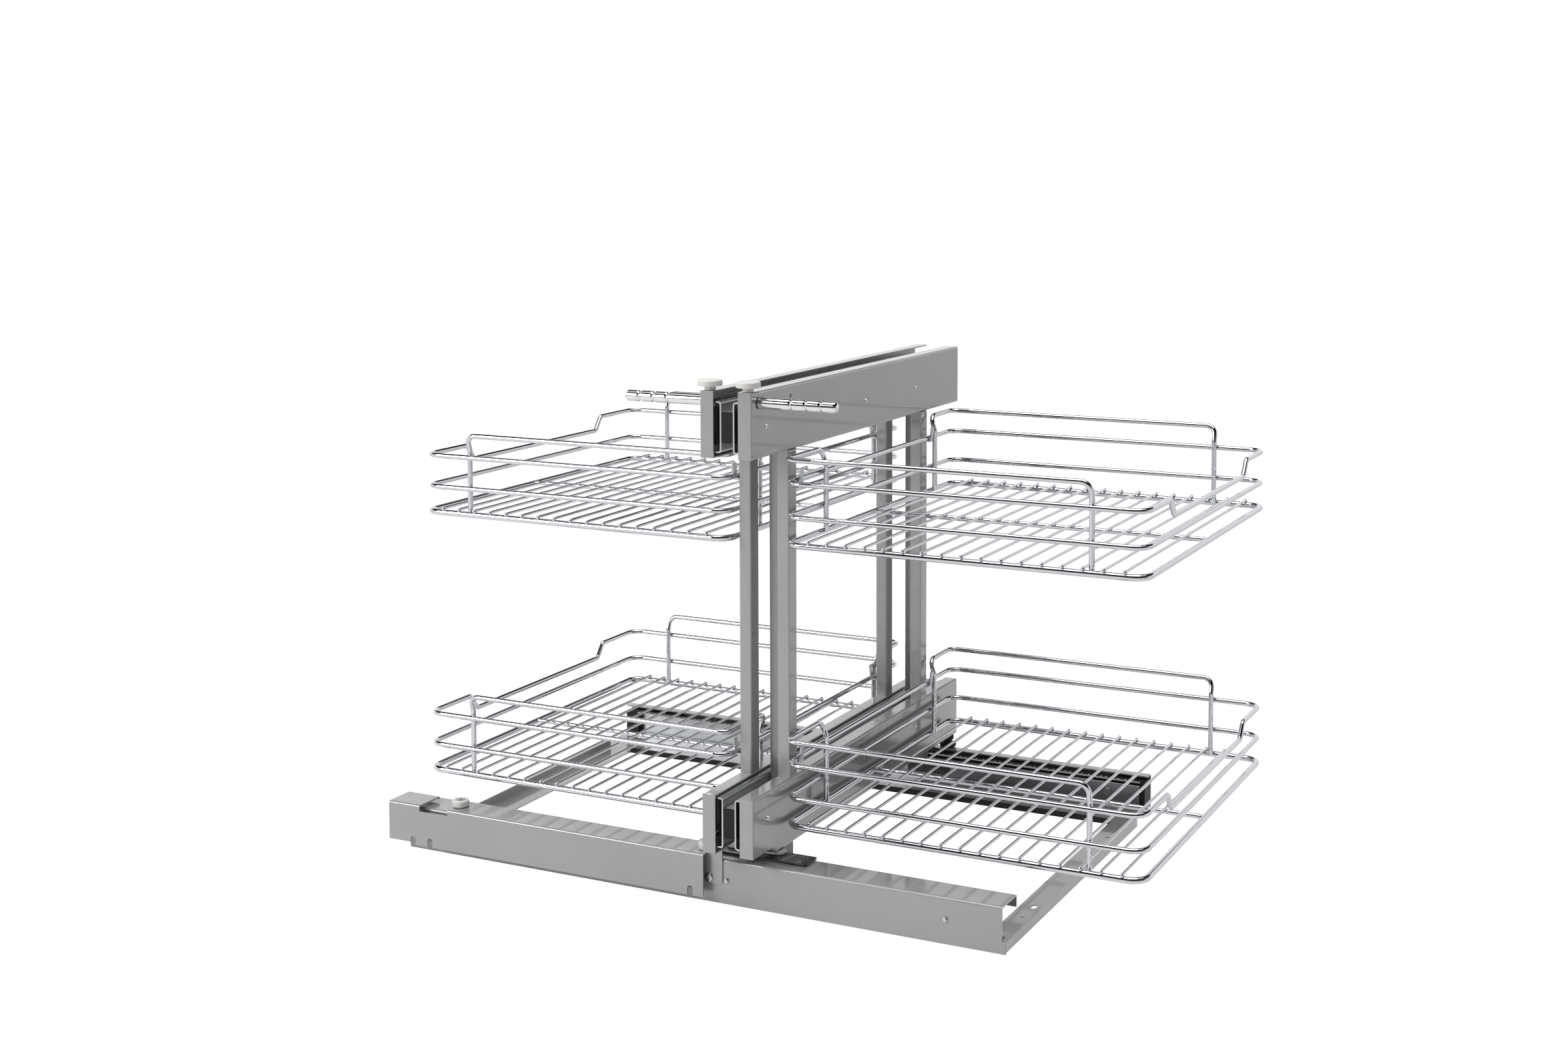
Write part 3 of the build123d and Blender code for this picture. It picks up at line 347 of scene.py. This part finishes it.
# %% One bead
bead_radius = 0.0018
skirt_spread = (1.3, 1.15, 1.0)
skirt_drop = 0.0004
start_clean()
bpy.ops.mesh.primitive_uv_sphere_add(segments=12, ring_count=7, radius=bead_radius)
bead = bpy.context.active_object
bpy.ops.object.mode_set(mode="EDIT")
# The lower half spreads into a skirt that runs out onto the ring
work = bmesh.from_edit_mesh(bead.data)
for vertex in work.verts:
    vertex.select = vertex.co.z < -0.0002
bmesh.update_edit_mesh(bead.data)
bpy.ops.transform.resize(value=skirt_spread)
bpy.ops.transform.translate(value=(0.0, 0.0, -skirt_drop))
bpy.ops.object.mode_set(mode="OBJECT")
bpy.ops.object.shade_smooth()
print("bead faces:", len(bead.data.polygons))


# %% Beads on the four baskets
wire_gap = 0.005
flatness = 0.0001


def wire_ends(mesh, edge_y):
    # The middles of the wire ends that lie at edge_y: a gap of 5 mm starts the next wire
    at_edge = (v.co for v in mesh.vertices if abs(v.co.y - edge_y) < flatness)
    points = sorted(at_edge, key=lambda co: co.x)
    groups = [[points[0]]]
    for co in points[1:]:
        if co.x - groups[-1][-1].x > wire_gap:
            groups.append([])
        groups[-1].append(co)
    return [sum(group, Vector()) / len(group) for group in groups]


for hand in ("left", "right"):
    for level in ("lower", "upper"):
        grid = nodes[hand + "_" + level + "_basket_floor"]
        ys = [vertex.co.y for vertex in grid.data.vertices]
        moves = []
        for edge_y in (min(ys), max(ys)):
            moves += [Matrix.Translation(middle) for middle in wire_ends(grid.data, edge_y)]
        beads = copies(bead, moves, hand + "_" + level + "_floor_wire_beads", wire_chrome)
        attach(beads, hand + "_unit")
        print(beads.name, len(moves), "beads")
discard(bead)

# %% [markdown]
# ## Staked marks on the carriage's foot
# The foot plate, painted dark for the shade it lies in under the units, shows two staked lugs, each four
# bright edges round a small square, and a row of pressed teeth that runs from front to back. The marks are
# pressed into the plate, and their bright steel is a painted highlight: the light that catches their edges.

# %% One small burr
burr_unit = 0.001
burr_size = (2.6, 0.7, 0.7)
burr_bevel = 0.00022
start_clean()
bpy.ops.mesh.primitive_cube_add(size=burr_unit)
burr = bpy.context.active_object
bpy.ops.object.mode_set(mode="EDIT")
bpy.ops.mesh.select_all(action="SELECT")
bpy.ops.transform.resize(value=burr_size)
bpy.ops.mesh.bevel(offset=burr_bevel, segments=2, affect="EDGES")
bpy.ops.object.mode_set(mode="OBJECT")
bpy.ops.object.shade_smooth()
print("burr faces:", len(burr.data.polygons))

# %% Where the burrs go
foot_top = 0.0472
lug_centres = ((0.1157, -0.1820), (0.1162, -0.1985))
lug_turn = 12
edge_from_centre = (0.0006, 0.0022, 0.0)
teeth = 9
first_tooth = (0.0990, -0.1985)
row_of_teeth = (0.0058, 0.0195)
tooth_turn = 20
burr_moves = []
for centre in lug_centres:
    for quarter in range(4):
        turn = Matrix.Rotation(math.radians(90 * quarter + lug_turn), 4, "Z")
        to_centre = Matrix.Translation((*centre, foot_top))
        burr_moves.append(to_centre @ turn @ Matrix.Translation(edge_from_centre))
for step in range(teeth):
    along = step / (teeth - 1)
    x, y = [first + length * along for first, length in zip(first_tooth, row_of_teeth)]
    turn = Matrix.Rotation(math.radians(tooth_turn), 4, "Z")
    burr_moves.append(Matrix.Translation((x, y, foot_top)) @ turn)
# The bright steel of these marks is painted highlight on the pressed edges
foot_marks = copies(burr, burr_moves, "carriage_foot_marks_painted_highlight", screw_steel)
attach(foot_marks, "carriage")
discard(burr)
print("foot marks:", len(burr_moves))

# %% [markdown]
# ## Painted glints on the rear slide
# The black rear slide shows a row of bright dots in pairs along its upper flange, where the balls in its cage
# catch the light. Each dot is painted as a shallow disc of bright steel on the flange: a painted highlight.

# %% Painted ball glints
ball_glint_radius = 0.0011
ball_glint_shape = (1.5, 1.0, 0.3)
row_from_front = 0.0035
end_margin = 0.012
pair_pitch = 0.0145
half_pair = 0.003
start_clean()
bpy.ops.mesh.primitive_uv_sphere_add(segments=10, ring_count=5, radius=ball_glint_radius)
ball_glint = bpy.context.active_object
bpy.ops.object.mode_set(mode="EDIT")
bpy.ops.mesh.select_all(action="SELECT")
bpy.ops.transform.resize(value=ball_glint_shape)
bpy.ops.object.mode_set(mode="OBJECT")
bpy.ops.object.shade_smooth()
rail_low, rail_high = [Vector(corner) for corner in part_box("rear_slide_rail")]
row_y = rail_low.y + row_from_front
ball_glint_moves = []
pair_x = rail_low.x + end_margin
while pair_x < rail_high.x - end_margin:
    for shift in (-half_pair, half_pair):
        ball_glint_moves.append(Matrix.Translation((pair_x + shift, row_y, rail_high.z)))
    pair_x += pair_pitch
# Bright steel discs on the black flange: painted highlights for the glints of the cage's balls
ball_glints = copies(ball_glint, ball_glint_moves, "rear_slide_ball_glints", screw_steel)
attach(ball_glints, "base")
discard(ball_glint)
print("dimples:", len(ball_glint_moves))

# %% [markdown]
# ## The room
# A white floor with soft light from above and from the front left, as in a product studio. The
# world is white where the camera sees it, and softer as a light, so that the paint keeps the
# grey of its colour.

# %% Floor
bpy.ops.object.select_all(action="DESELECT")
bpy.ops.mesh.primitive_plane_add(size=40.0, location=(0.0, 0.0, -0.0004))
floor = bpy.context.active_object
floor.name = "studio_floor"
floor_paint, floor_tree, floor_shader = new_finish("matt_white_studio_paper")[:3]
floor_shader.inputs["Base Color"].default_value = paint_card("#F2F2F1")
floor_shader.inputs["Roughness"].default_value = 0.9
floor_shader.inputs["Specular IOR Level"].default_value = 0.1
rays = add_node(floor_tree, "ShaderNodeLightPath")
glow = add_node(floor_tree, "ShaderNodeEmission", values={"Strength": 1.1})
# The camera sees mostly the glow with a little of the shadow, and shiny metal sees half of each
seen = add_node(floor_tree, "ShaderNodeMath", settings={"operation": "MULTIPLY"}, values={1: 0.93},
                links={0: rays.outputs["Is Camera Ray"]})
mirrored = add_node(floor_tree, "ShaderNodeMath", settings={"operation": "MULTIPLY_ADD"},
                    values={1: 0.5}, links={0: rays.outputs["Is Glossy Ray"], 2: seen.outputs[0]})
sheet_end = add_node(floor_tree, "ShaderNodeMixShader",
                     links={0: mirrored.outputs[0], 1: floor_shader.outputs[0], 2: glow.outputs[0]})
floor_tree.links.new(sheet_end.outputs[0], floor_tree.nodes["Material Output"].inputs["Surface"])
floor.data.materials.append(floor_paint)
print("floor ready")

# %% World
world = bpy.data.worlds.new("studio_world")
bpy.context.scene.world = world
world.use_nodes = True
sky = world.node_tree
background = sky.nodes["Background"]
background.inputs["Color"].default_value = (1.0, 1.0, 1.0, 1.0)
world_rays = add_node(sky, "ShaderNodeLightPath")
direct = add_node(sky, "ShaderNodeMath", settings={"operation": "MAXIMUM"},
                  links={0: world_rays.outputs["Is Camera Ray"], 1: world_rays.outputs["Is Transmission Ray"]})
# Shiny metal sees a dim band between the white walls and the white ceiling, and a dimmer end
# of the room behind the camera. Both draw dark lines along the chrome.
view_way = add_node(sky, "ShaderNodeTexCoord").outputs["Generated"]
toward_camera = add_node(sky, "ShaderNodeVectorMath", settings={"operation": "DOT_PRODUCT"},
                         values={1: (0.43, -0.9, 0.05)}, links={0: view_way})
dim_end = add_node(sky, "ShaderNodeMapRange", settings={"interpolation_type": "SMOOTHSTEP"},
                   values={"From Min": 0.1, "From Max": 0.6, "To Min": 1.0, "To Max": 0.1},
                   links={"Value": toward_camera.outputs["Value"]})
height = add_node(sky, "ShaderNodeSeparateXYZ", links={0: view_way}).outputs["Z"]
from_middle = add_node(sky, "ShaderNodeMath", settings={"operation": "SUBTRACT"}, values={1: 0.62},
                       links={0: height})
off_band = add_node(sky, "ShaderNodeMath", settings={"operation": "ABSOLUTE"},
                    links={0: from_middle.outputs[0]})
dim_band = add_node(sky, "ShaderNodeMapRange", settings={"interpolation_type": "SMOOTHSTEP"},
                    values={"From Min": 0.18, "From Max": 0.24, "To Min": 0.03, "To Max": 1.0},
                    links={"Value": off_band.outputs[0]})
dim_both = add_node(sky, "ShaderNodeMath", settings={"operation": "MULTIPLY"},
                    links={0: dim_end.outputs["Result"], 1: dim_band.outputs["Result"]})
# Socket 2 is the level as a light, and socket 3 what shiny metal or the camera sees
off_camera = add_node(sky, "ShaderNodeMix", values={2: 0.25},
                      links={0: world_rays.outputs["Is Glossy Ray"], 3: dim_both.outputs[0]})
level = add_node(sky, "ShaderNodeMix", values={3: 1.0},
                 links={0: direct.outputs[0], 2: off_camera.outputs[0]})
sky.links.new(level.outputs[0], background.inputs["Strength"])
print("world nodes:", len(sky.nodes))


# %% Lamps
def soft_box(name, place, aim, size, watts):
    lamp_data = bpy.data.lights.new(name, "AREA")
    lamp_data.shape = "RECTANGLE"
    lamp_data.size, lamp_data.size_y = size
    lamp_data.energy = watts
    lamp = bpy.data.objects.new(name, lamp_data)
    bpy.context.scene.collection.objects.link(lamp)
    lamp.location = place
    lamp.rotation_euler = (Vector(aim) - Vector(place)).to_track_quat("-Z", "Y").to_euler()


soft_box("top_light", (0.1, -0.3, 2.6), (0.0, 0.0, 0.2), (2.2, 1.8), 42.0)
soft_box("front_left_light", (-1.9, -2.2, 1.6), (0.0, 0.0, 0.25), (1.4, 1.6), 53.0)
